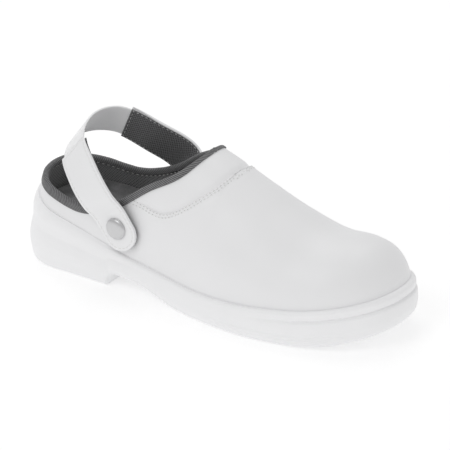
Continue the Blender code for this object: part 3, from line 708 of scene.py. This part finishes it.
def upper_grid(side, seam_line):
    """Outer face of one side with the vamp edge, its padding and small puckers, and its normals."""
    share = upper_stations()
    fine = np.linspace(0, math.pi / 2, 400)
    near = np.array([5.2, 4.4, 3.6, 2.8, 2.1, 1.5, 1.0, 0.62, 0.40, 0.24, 0.12, 0.04]) * MM
    beyond = np.array([0.05, 0.16, 0.32, 0.60, 1.1, 1.9, 3.0]) * MM
    lower_rows = 44
    upper_rows = 18
    collar_angle = rise_angle(share, collar(share))
    seam_angle = rise_angle(share, seam(share))
    angles = []
    for i, value in enumerate(share):
        line = upper_face(np.full(fine.shape, value), side, fine)
        arc = run_along(line)
        at_seam = np.interp(seam_angle[i], fine, arc)
        at_collar = np.interp(collar_angle[i], fine, arc)
        fit = min(1.0, at_seam / (2 * near[0]))
        spare = at_collar - at_seam
        over = min(1.0, spare / (2 * beyond[-1]))
        low = np.linspace(0.0, at_seam - near[0] * fit, lower_rows)
        rows = np.concatenate([low, at_seam - near[1:] * fit, [at_seam], at_seam + beyond * over,
                               np.linspace(at_seam + beyond[-1] * over, at_collar, upper_rows)[1:]])
        angles.append(np.interp(rows, arc, fine))
    angles = np.array(angles)
    grid = upper_face(share[:, None] + 0 * angles, side, angles)
    normals = face_normals(grid, side)
    normals[angles > math.pi / 2 - 1e-5, 1] = 0.0
    normals = unit(normals)
    # The panel lies one thickness under the vamp, and the two surfaces part along the cut edge.
    spare = (collar_angle - seam_angle)[:, None]
    crest = (share > THROAT)[:, None]
    step = SEAM_STEP * np.where(crest, 1.0, blend(0.0, SEAM_TAPER, spare))
    above = (angles > seam_angle[:, None] + 1e-7) & (share < SEAM_TOP)[:, None]
    tree = KDTree(len(seam_line))
    for number, point in enumerate(seam_line):
        tree.insert(point, number)
    tree.balance()
    gap = np.array([tree.find(p)[2] for p in grid.reshape(-1, 3)]).reshape(angles.shape)
    gap = np.where(above, gap, -gap)
    away = blend(-0.55 * MM, 0.35 * MM, gap)
    # The panel is padded: from the edge it swells up again within a few millimetres.
    swell = blend(0.35 * MM, PANEL_RISE, gap) * PANEL_PADDING
    drop = -step * away * (1 - swell)
    # Each row of stitches draws the vamp in a little.
    sewn = (collar_angle - seam_angle > 0.004)[:, None] | (share[:, None] > SEAM_TOP - 0.01)
    for row in SEAM_ROWS:
        drop -= SEAM_DRAW * np.exp(-((gap + row) / SEAM_DRAW_WIDTH) ** 2) * sewn
    # Lasting leaves faint puckers just above the rim, strongest where the outline turns.
    height = grid[..., 2] - rim(share)[:, None]
    run = run_along(grid[:, 0])[:, None]
    ripple = (np.sin(run / (2.3 * MM) + side) + 0.6 * np.sin(run / (3.7 * MM) + 2 * side)
              + 0.5 * np.sin(run / (1.57 * MM)))
    turn = blend(0.50, 0.72, share)[:, None] * (0.5 + 0.5 * blend(0.8, 0.95, share)[:, None])
    drop += PUCKER_HEIGHT * ripple * turn * np.exp(-np.clip(height, 0, 1) / PUCKER_REACH)
    grid = grid + normals * drop[..., None]
    foot = np.stack([grid[:, 0, 0], grid[:, 0, 1], cup(share) + FIT_GAP], -1)[:, None]
    grid = np.concatenate([foot, grid], 1)
    normals = np.concatenate([normals[:, :1], normals], 1)
    return share, grid, normals


def seam_points(side):
    share = np.concatenate([np.linspace(0.32, SEAM_TOP - 0.01, 2600),
                            np.linspace(SEAM_TOP - 0.01, SEAM_TOP, 900)])
    angle = rise_angle(share, seam(share))
    there = (collar(share) - seam(share) > 0.0002) | (share > THROAT)
    return upper_face(share, side, angle)[there]


def smooth_line(points, count, times=2):
    """A line of points at an even pitch, gently evened out."""
    run = run_along(points)
    at = np.linspace(0, run[-1], count)
    line = np.stack([np.interp(at, run, points[:, k]) for k in range(3)], -1)
    for _ in range(times):
        line[1:-1] = (line[:-2] + 2 * line[1:-1] + line[2:]) / 4
    return line


LATERAL_SEAM = seam_points(-1)
MEDIAL_SEAM = seam_points(1)
STATIONS, LATERAL, LATERAL_OUT = upper_grid(-1, LATERAL_SEAM)
_, MEDIAL, MEDIAL_OUT = upper_grid(1, MEDIAL_SEAM)


def cloth_places(along, across):
    """Place on the cloth of each point of a grid, from its runs along the piece and across it."""
    return np.stack(np.broadcast_arrays(along[:, None], across), -1)


def every_other(grid):
    """Every second row and column of a grid, and its last ones."""
    rows, columns = ([*range(0, count - 1, 2), count - 1] for count in grid.shape[:2])
    return grid[rows][:, columns]


def thicken(thing, thickness):
    """Gives an outer face its wall, inwards."""
    shell = thing.modifiers.new("thickness", "SOLIDIFY")
    shell.thickness = thickness
    shell.offset = -1.0
    settle(thing)
    thing.data.shade_smooth()


def make_upper():
    leather = grid_object("upper_microfibre", [(LATERAL, False), (MEDIAL, True)], MICROFIBRE)
    thicken(leather, LEATHER_WALL)
    finish_piece(leather, "upper_microfibre", "upper")
    inner = []
    runs = []
    for grid, out, flip in ((LATERAL, LATERAL_OUT, False), (MEDIAL, MEDIAL_OUT, True)):
        face = every_other(grid)
        inner.append((face - every_other(out) * (LEATHER_WALL + LINING_GAP), flip))
        runs.append(cloth_places(run_along(face[:, 1]), run_along(face, 1)))
    lining = grid_object("upper_lining", inner, LINING_PAINTED_LIGHTER, runs)
    thicken(lining, WALL - LEATHER_WALL)
    finish_piece(lining, "binding_knit")


def outer_tree():
    bm = bmesh.new()
    for grid, flip in ((LATERAL, False), (MEDIAL, True)):
        rows, columns = grid.shape[:2]
        corner = [[bm.verts.new(grid[i, j]) for j in range(columns)] for i in range(rows)]
        for i in range(rows - 1):
            for j in range(columns - 1):
                face = [corner[i][j], corner[i + 1][j], corner[i + 1][j + 1], corner[i][j + 1]]
                bm.faces.new(face[::-1] if flip else face)
    bmesh.ops.remove_doubles(bm, verts=bm.verts, dist=MERGE)
    bmesh.ops.dissolve_degenerate(bm, edges=bm.edges, dist=DISSOLVE)
    tree = BVHTree.FromBMesh(bm)
    bm.free()
    return tree


SURFACE = outer_tree()


def sew_seam():
    """Two rows along the vamp edge, from the collar outside, over the instep, to the collar inside."""
    edge = smooth_line(np.concatenate([LATERAL_SEAM, MEDIAL_SEAM[::-1]]), 420, 6)
    along = unit(np.gradient(edge, axis=0))
    rows = []
    for distance in SEAM_ROWS:
        line = []
        for point, direction in zip(edge, along):
            spot, out, _, _ = SURFACE.find_nearest(Vector(point))
            down = Vector(direction).cross(out).normalized()
            if down.x < 0 and abs(down.x) > abs(down.z):
                down = -down
            if down.z > 0 and abs(down.z) >= abs(down.x):
                down = -down
            spot, out, _, _ = SURFACE.find_nearest(Vector(point) + down * distance)
            line.append(spot + out * 0.06 * MM)
        rows.append(smooth_line(np.array(line), 420, 3)[6:-6])
    sew("seam_thread", rows, WHITE_THREAD, "upper_microfibre", SEAM_PITCH, SEAM_PITCH * 0.80,
        2.0 * THREAD, 1.5 * THREAD)
    # Small dark marks between the stitches: painted shade in the needle holes.
    sew("seam_prick_shade", rows, PRICK_SHADE, "upper_microfibre", SEAM_PITCH, 1.55 * MM, 0.80 * MM, 0.36 * MM,
        SEAM_PITCH / 2)


# The collar tape

def round_collar(outside, inside):
    """Rows from the heel, round the outside to the throat, and back inside."""
    last = int(np.argmin(np.abs(STATIONS - THROAT)))
    return np.concatenate([outside[:last + 1], inside[last - 1:0:-1]])


def make_tape():
    points = round_collar(LATERAL[:, -1], MEDIAL[:, -1])
    outs = round_collar(LATERAL_OUT[:, -1], MEDIAL_OUT[:, -1])
    shares = round_collar(STATIONS, STATIONS)
    lower = round_collar(LATERAL[:, -ROWS_BELOW], MEDIAL[:, -ROWS_BELOW])
    along = unit(np.roll(points, -1, 0) - np.roll(points, 1, 0))
    run = np.cumsum(np.linalg.norm(points - np.roll(points, 1, 0), axis=1))
    depths = np.array([1.0, 0.985, 0.95, 0.88, 0.75, 0.58, 0.40, 0.22, 0.08])
    swell = np.array([0.30, 0.62, 0.86, 0.97, 1.0, 1.0, 1.0, 1.0, 1.0])
    turns = np.radians(np.linspace(12, 168, 9))
    rings = []
    inside_row = []
    for i in range(len(points)):
        point = Vector(points[i])
        direction = Vector(along[i])
        out = Vector(outs[i])
        out = (out - direction * out.dot(direction)).normalized()
        up = out.cross(direction).normalized()
        if up.dot(point - Vector(lower[i])) < 0:
            up = -up
        throat = float(blend(0.455, THROAT, shares[i]))
        depth = BINDING_DEPTH + (SIDE_DEPTH - BINDING_DEPTH) * float(blend(0.18, 0.36, shares[i]))
        depth += (THROAT_DEPTH - depth) * throat
        inner_depth = INNER_DEPTH + (THROAT_DEPTH - INNER_DEPTH) * throat
        pucker = 1 + 0.035 * math.sin(run[i] / (1.9 * MM)) + 0.025 * math.sin(run[i] / (3.3 * MM) + 1)
        skin = TAPE_SKIN * pucker
        faces = [SURFACE.find_nearest(point - up * depth * share)[:2] for share in depths]
        backs = [SURFACE.find_nearest(point - up * inner_depth * share)[:2] for share in depths]
        ring = [spot + normal * (TAPE_SEAT + skin * part) for (spot, normal), part in zip(faces, swell)]
        middle = point - out * WALL / 2
        reach = WALL / 2 + TAPE_SEAT + skin
        ring += [middle + out * reach * math.cos(turn) + up * reach * math.sin(turn) for turn in turns]
        ring += [spot - normal * (WALL + TAPE_SEAT + skin * part)
                 for (spot, normal), part in zip(backs[::-1], swell[::-1])]
        ring += [spot - normal * (WALL + TAPE_SEAT) for spot, normal in (backs[0], backs[5])]
        ring += [point - out * (WALL + TAPE_SEAT) + up * TAPE_SEAT, point + (out + up) * TAPE_SEAT]
        ring += [spot + normal * TAPE_SEAT for spot, normal in (faces[5], faces[0])]
        ring.append(ring[0])
        rings.append(ring)
        spot, normal, _, _ = SURFACE.find_nearest(point - up * (inner_depth + LINING_ROW_DROP))
        inside_row.append(spot - normal * (WALL + 0.10 * MM))
    rings.append(rings[0])
    grid = np.array([[tuple(p) for p in ring] for ring in rings])
    long_way = np.append(run, run[-1] + run[0]) - run[0]
    places = cloth_places(long_way, run_along(grid, 1))
    tape = grid_object("collar_tape", [(grid, False)], TAPE, [places], outward=True)
    finish_piece(tape, "binding_knit", "collar_binding")
    row = smooth_line(np.array([tuple(p) for p in inside_row]), 500, 3)
    sew("lining_thread", [row], WHITE_THREAD, "binding_knit", LINING_PITCH, 0.62 * LINING_PITCH,
        2.2 * THREAD, 1.6 * THREAD)


# The sole

def sole_stations():
    heel = 0.268 * (1 - np.cos(np.linspace(0, math.pi / 2, 54)))
    breast = np.linspace(0.268, 0.30, 18)[1:]
    side = np.linspace(0.30, 0.76, 70)[1:]
    toe = 0.76 + 0.24 * np.sin(np.linspace(0, math.pi / 2, 70))[1:]
    return np.concatenate([heel, breast, side, toe])


def outline_row(share, inset, height):
    """Closed row of points round the plan: outside from heel to toe, and back inside."""
    length, centre, half = plan(share, inset)
    outside = np.stack([length - HEEL_SEAT, centre - half, height], -1)
    inside = np.stack([length - HEEL_SEAT, centre + half, height], -1)[-2:0:-1]
    return np.concatenate([outside, inside, outside[:1]])


def step_profile(name, position):
    """Height or inset of the sole wall between its steps, rounded through each of them."""
    rows = {"station": tuple(range(11)), name: STEPS[name]}
    curved = smooth(rows, name, position)
    straight = np.interp(position, range(11), STEPS[name])
    return 0.75 * curved + 0.25 * straight


def across_rows(ring, share):
    """Grid of points across a closed row, from its outer side to its inner side."""
    count = len(share)
    outer = ring[:count]
    other = np.concatenate([ring[:1], ring[count:-1][::-1], ring[count - 1:count]])
    t = np.linspace(0, 1, 3)[None, :, None]
    return outer[:, None] * (1 - t) + other[:, None] * t


def lip_row(share, height):
    """Closed row where the lip of the sole closes on the upper, pressed into it by a hair."""
    angle = rise_angle(share, height)
    outside = upper_face(share, -1, angle)
    inside = upper_face(share, 1, angle)
    middle = (outside + inside) / 2
    outside, inside = (middle + (face - middle) * LIP_SQUEEZE for face in (outside, inside))
    row = np.concatenate([outside, inside[-2:0:-1], outside[:1]])
    centre = SOLE_LENGTH / 2 - HEEL_SEAT
    row[:, 0] = centre + (row[:, 0] - centre) * (1 - LIP_PRESS)
    row[:, 2] = np.concatenate([height, height[-2:0:-1], height[:1]])
    return row


def make_sole():
    share = sole_stations()
    low = tread(share)
    tall = rim(share) - low
    heel = 1 - blend(0.18, 0.45, share)
    toe = blend(0.66, 0.86, share)
    zones = (("heel", heel), ("waist", 1 - heel - toe), ("toe", toe))
    front = blend(0.50, 0.66, share) * (1 - blend(0.86, 0.97, share))
    rows = []
    for position in np.linspace(0, 10, 121):
        height, inset = (sum(part * step_profile(zone + name, position) for zone, part in zones)
                         for name in ("_height", "_inset"))
        lines = sum(np.exp(-((height * tall - line) / FINE_LINE_WIDTH) ** 2) for line in FINE_LINES)
        inset = inset * ledge(share) + FINE_LINE_DEPTH * lines * front
        rows.append(outline_row(share, inset, low + height * tall))
    rows += [lip_row(share, rim(share) - depth) for depth in LIP_ROWS]
    rows += [outline_row(share, ledge(share), height) for height in (rim(share) - LIP_DEPTH, cup(share))]
    wall = np.stack(rows, 1)
    floor = across_rows(rows[0], share)
    bed = across_rows(rows[-1], share)
    sole = grid_object("outsole", [(wall, False), (floor, False), (bed, True)], SOLE_SKIN, outward=True)
    bm = bmesh.new()
    for station in GROOVE_STATIONS:
        length, centre, half = plan(np.array([station]), GROOVE_EDGE)
        depth = float(tread(station)) + GROOVE_DEPTH
        made = bmesh.ops.create_cube(bm, size=1.0)["verts"]
        bmesh.ops.scale(bm, vec=(GROOVE_WIDTH, 2 * half[0], 2 * depth), verts=made)
        bmesh.ops.translate(bm, vec=(length[0] - HEEL_SEAT, centre[0], 0.0), verts=made)
    mesh = bpy.data.meshes.new("tread_cutter")
    bm.to_mesh(mesh)
    bm.free()
    cutter = put("tread_cutter", mesh)
    boolean = sole.modifiers.new("grooves", "BOOLEAN")
    boolean.operation = "DIFFERENCE"
    boolean.solver = "EXACT"
    boolean.object = cutter
    settle(sole)
    bpy.data.objects.remove(cutter)
    sole.data.set_sharp_from_angle(angle=math.radians(42))
    finish_piece(sole, "sole_polyurethane", "sole")


def make_insole():
    share = sole_stations()[2:-2]
    inset = ledge(share) + FIT_GAP + WALL + 2 * FIT_GAP
    low = cup(share) + 2 * FIT_GAP
    heel = 1 - blend(0.20, 0.50, share)
    edge = low + INSOLE_THICKNESS + heel * INSOLE_CUP
    middle = low + INSOLE_THICKNESS
    rows = [outline_row(share, inset, low), outline_row(share, inset, edge - 0.8 * MM),
            outline_row(share, inset + 0.25 * MM, edge - 0.25 * MM),
            outline_row(share, inset + 0.9 * MM, edge)]
    for t in np.linspace(0.1, 1.0, 9):
        rows.append(outline_row(share, inset + (0.9 + 13.1 * t) * MM,
                                edge + (middle - edge) * (t * t * (3 - 2 * t))))
    insole = grid_object("insole_felt", [(np.stack(rows, 1), False),
                                         (across_rows(rows[0], share), False),
                                         (across_rows(rows[-1], share), True)], FELT, outward=True)
    finish_piece(insole, "insole_felt", "insole")


# The strap

def band_rows(stations, anchor_tip, width, low, high, rounding):
    """Closed rounded sections along the strap, with an optional round tab before the first one."""
    middles, alongs, wides, outs = strap_frame(stations)
    widths, lows, highs = (np.broadcast_to(value, len(stations)).astype(float)
                           for value in (width, low, high))
    if anchor_tip:
        turns = np.radians(np.linspace(5, 90, 22))
        ahead = TAB_REACH - TAB_RADIUS * (1 - np.cos(turns))
        middles = np.concatenate([middles[0] + (alongs[0] * anchor_tip) * ahead[:, None], middles])
        wides, outs, lows, highs = (np.concatenate([np.repeat(row[:1], len(turns), 0), row])
                                    for row in (wides, outs, lows, highs))
        widths = np.concatenate([widths[0] * np.sin(turns), widths])
    rows = []
    for middle, wide, out, across, under, over in zip(middles, wides, outs, widths, lows, highs):
        half = across / 2
        soft = min(rounding, half * 0.8, (over - under) * 0.48)
        section = []
        for corner, level, start in ((half - soft, over - soft, 0), (soft - half, over - soft, 90),
                                     (soft - half, under + soft, 180), (half - soft, under + soft, 270)):
            for angle in np.radians((start, start + 30, start + 60, start + 90)):
                section.append((corner + soft * math.cos(angle), level + soft * math.sin(angle)))
            if start == 0:
                section += [(half * k, over) for k in (0.6, 0.2, -0.2, -0.6)]
            if start == 180:
                section += [(half * k, under) for k in (-0.6, -0.2, 0.2, 0.6)]
        section.append(section[0])
        rows.append([middle + wide * u + out * v for u, v in section])
    return np.array(rows)


def band_piece(name, grid, material, slot, *nodes):
    """A closed band, on which the cloth runs along and across as at its middle."""
    places = cloth_places(run_along(grid[:, 0]), run_along(grid, 1)[len(grid) // 2])
    thing = grid_object(name, [(grid, False)], material, [places], closed=True)
    finish_piece(thing, slot, *nodes)


def strap_line(side, anchor, end, offset, inset):
    """Line of sewing along both edges of a leg, round its tab and across its end."""
    stations = np.linspace(anchor, end, 400)
    from_end = np.linalg.norm(strap_centre(stations) - strap_centre(end), axis=1)
    stations = stations[from_end > inset]
    middles, alongs, wides, outs = strap_frame(stations)
    half = STRAP_WIDTH / 2 - inset
    lift = outs * offset
    upper_line = middles + wides * half + lift
    lower_line = middles - wides * half + lift
    turns = np.radians(np.linspace(90, -90, 40))
    length = TAB_REACH - inset
    radius = TAB_RADIUS - inset
    tip = middles[0] + lift[0] + (alongs[0] * side) * (length - radius + radius * np.cos(turns))[:, None]
    tip = tip + wides[0] * (half * np.sin(turns))[:, None]
    return np.concatenate([upper_line[::-1], tip, lower_line, upper_line[-1:]])


def make_strap():
    plies = STRAP_THICKNESS / 2
    threads = []
    lining_threads = []
    for name, side, anchor, end in (("lateral", -1, 0.0, LEG_ENDS[0]), ("medial", 1, 1.0, LEG_ENDS[1])):
        stations = np.linspace(anchor, end, 90)
        near_end = 1 - blend(0.0, 0.30, np.abs(stations - end) / abs(end - anchor))
        pocket = LOOP_THICKNESS / 2 + 0.05 * MM
        low = pocket * near_end - LINING_TOP * (1 - near_end)
        ply = band_rows(stations, side, STRAP_WIDTH, low, plies, 0.35 * MM)
        band_piece("strap_outer_" + name, ply, MICROFIBRE, "strap_microfibre", "strap_leg_" + name)
        ply = band_rows(stations, side, STRAP_WIDTH - 1.3 * MM, -plies, -LINING_TOP - 0.08 * MM, 0.2 * MM)
        band_piece("strap_lining_" + name, ply, STRAP_LINING, "binding_knit")
        threads.append(strap_line(side, anchor, end, plies + 0.05 * MM, STRAP_ROW))
        lining_threads.append(strap_line(side, anchor, end, -plies - 0.04 * MM, LINING_ROW))
    loop = band_rows(np.linspace(LEG_ENDS[0] - LOOP_TONGUE, LEG_ENDS[1] + LOOP_TONGUE, 130), 0,
                     LOOP_WIDTH, -LOOP_THICKNESS / 2, LOOP_THICKNESS / 2, 0.4 * MM)
    band_piece("strap_band", loop, BAND, "loop_polyurethane", "strap_loop")
    sew("strap_thread", threads, WHITE_THREAD, "strap_microfibre", STRAP_PITCH, STRAP_PITCH * 0.8,
        2.0 * THREAD, 1.4 * THREAD)
    # Small dark marks between the stitches: painted shade in the needle holes.
    sew("strap_prick_shade", threads, PRICK_SHADE, "strap_microfibre", STRAP_PITCH, 0.80 * MM, 0.60 * MM,
        0.24 * MM, STRAP_PITCH / 2)
    sew("strap_lining_thread", lining_threads, GREY_THREAD, "binding_knit", STRAP_PITCH,
        STRAP_PITCH * 0.55, 1.6 * THREAD, 1.3 * THREAD)


def make_rivet(name, part, side):
    """Domed cap with a rolled rim, post, spacer and inner washer, turned as one shape."""
    spot = strap_centre(0.0 if side < 0 else 1.0)
    _, _, _, reach = SURFACE.ray_cast(Vector(spot), Vector((0.0, -side, 0.0)))
    cap = STRAP_THICKNESS / 2 + 0.1 * MM
    shelf = -STRAP_THICKNESS / 2 - 0.3 * MM
    inside = -reach - WALL - 0.3 * MM - HEAD_SLANT
    profile = [(CAP_RADIUS * math.sin(turn) * 0.965, cap + CAP_EDGE + CAP_DOME * math.cos(turn) ** 0.9)
               for turn in np.radians(np.linspace(0, 90, 16))]
    profile += [(CAP_RADIUS - CAP_ROLL * (1 - math.cos(turn)), cap + CAP_ROLL * (1 + math.sin(turn)))
                for turn in np.radians(np.linspace(80, -70, 9))]
    profile += [(SHANK_RADIUS, cap), (SHANK_RADIUS, shelf), (SPACER_RADIUS, shelf),
                (SPACER_RADIUS, shelf - SPACER_THICKNESS), (SHANK_RADIUS, shelf - SPACER_THICKNESS),
                (SHANK_RADIUS, inside), (HEAD_RADIUS - 0.2 * MM, inside),
                (HEAD_RADIUS, inside - 0.2 * MM), (HEAD_RADIUS, inside - HEAD_THICKNESS + 0.4 * MM),
                (HEAD_RADIUS - 0.4 * MM, inside - HEAD_THICKNESS), (0.0, inside - HEAD_THICKNESS)]
    rows = [[(spot[0] + radius * math.cos(turn), spot[1] + side * height,
              spot[2] + radius * math.sin(turn)) for radius, height in profile]
            for turn in np.linspace(0, 2 * math.pi, 65)]
    rivet = grid_object(name, [(np.array(rows), side > 0)], STEEL, closed=True)
    rivet.data.set_sharp_from_angle(angle=math.radians(50))
    finish_piece(rivet, "rivet_steel", part)


make_sole()
make_upper()
sew_seam()
make_tape()
make_insole()
make_strap()
make_rivet("rivet_cap_lateral", "rivet_lateral", -1)
make_rivet("rivet_cap_medial", "rivet_medial", 1)


# Stage, light and camera

def make_stage():
    # Matt paper sweep, lit a little from below so that it reads white behind a white object.
    material = new_material("pale_floor", Roughness=0.9, Base_Color=srgb("E4E4E4"),
                            Emission_Color=srgb("FFFFFF"), Emission_Strength=FLOOR_GLOW)[0]
    bm = bmesh.new()
    bmesh.ops.create_grid(bm, x_segments=1, y_segments=1, size=FLOOR_SIZE)
    bmesh.ops.translate(bm, vec=(0.0, 0.0, -FLOOR_DROP), verts=bm.verts)
    mesh = bpy.data.meshes.new("floor")
    bm.to_mesh(mesh)
    bm.free()
    mesh_object("floor", mesh, material)


def aim(thing, spot, target):
    thing.location = spot
    thing.rotation_euler = (Vector(target) - Vector(spot)).to_track_quat("-Z", "Y").to_euler()


def make_light():
    world = bpy.data.worlds.new("studio")
    bpy.context.scene.world = world
    world.use_nodes = True
    background = world.node_tree.nodes["Background"]
    background.inputs["Color"].default_value = srgb("FFFFFF")
    background.inputs["Strength"].default_value = STUDIO_LIGHT
    for name, (spot, size, power) in SOFTBOXES.items():
        light = bpy.data.lights.new(name, "AREA")
        light.size = size
        light.energy = power
        aim(put(name, light), spot, LIGHT_TARGET)


def make_camera():
    right = Vector((math.cos(CAMERA_AZIMUTH), math.sin(CAMERA_AZIMUTH), 0.0))
    level = math.cos(CAMERA_ELEVATION)
    back = Vector((math.sin(CAMERA_AZIMUTH) * level, -math.cos(CAMERA_AZIMUTH) * level,
                   math.sin(CAMERA_ELEVATION)))
    target = Vector(CAMERA_TARGET) + right * CAMERA_SHIFT[0] + back.cross(right) * CAMERA_SHIFT[1]
    camera = bpy.data.cameras.new("camera")
    camera.lens = CAMERA_LENS
    camera.sensor_width = 36.0
    camera.clip_start = 0.05
    camera.clip_end = 50.0
    thing = put("camera", camera)
    aim(thing, target + back * CAMERA_DISTANCE, target)
    bpy.context.scene.camera = thing


make_stage()
make_light()
make_camera()
bpy.context.scene.view_settings.view_transform = "Standard"
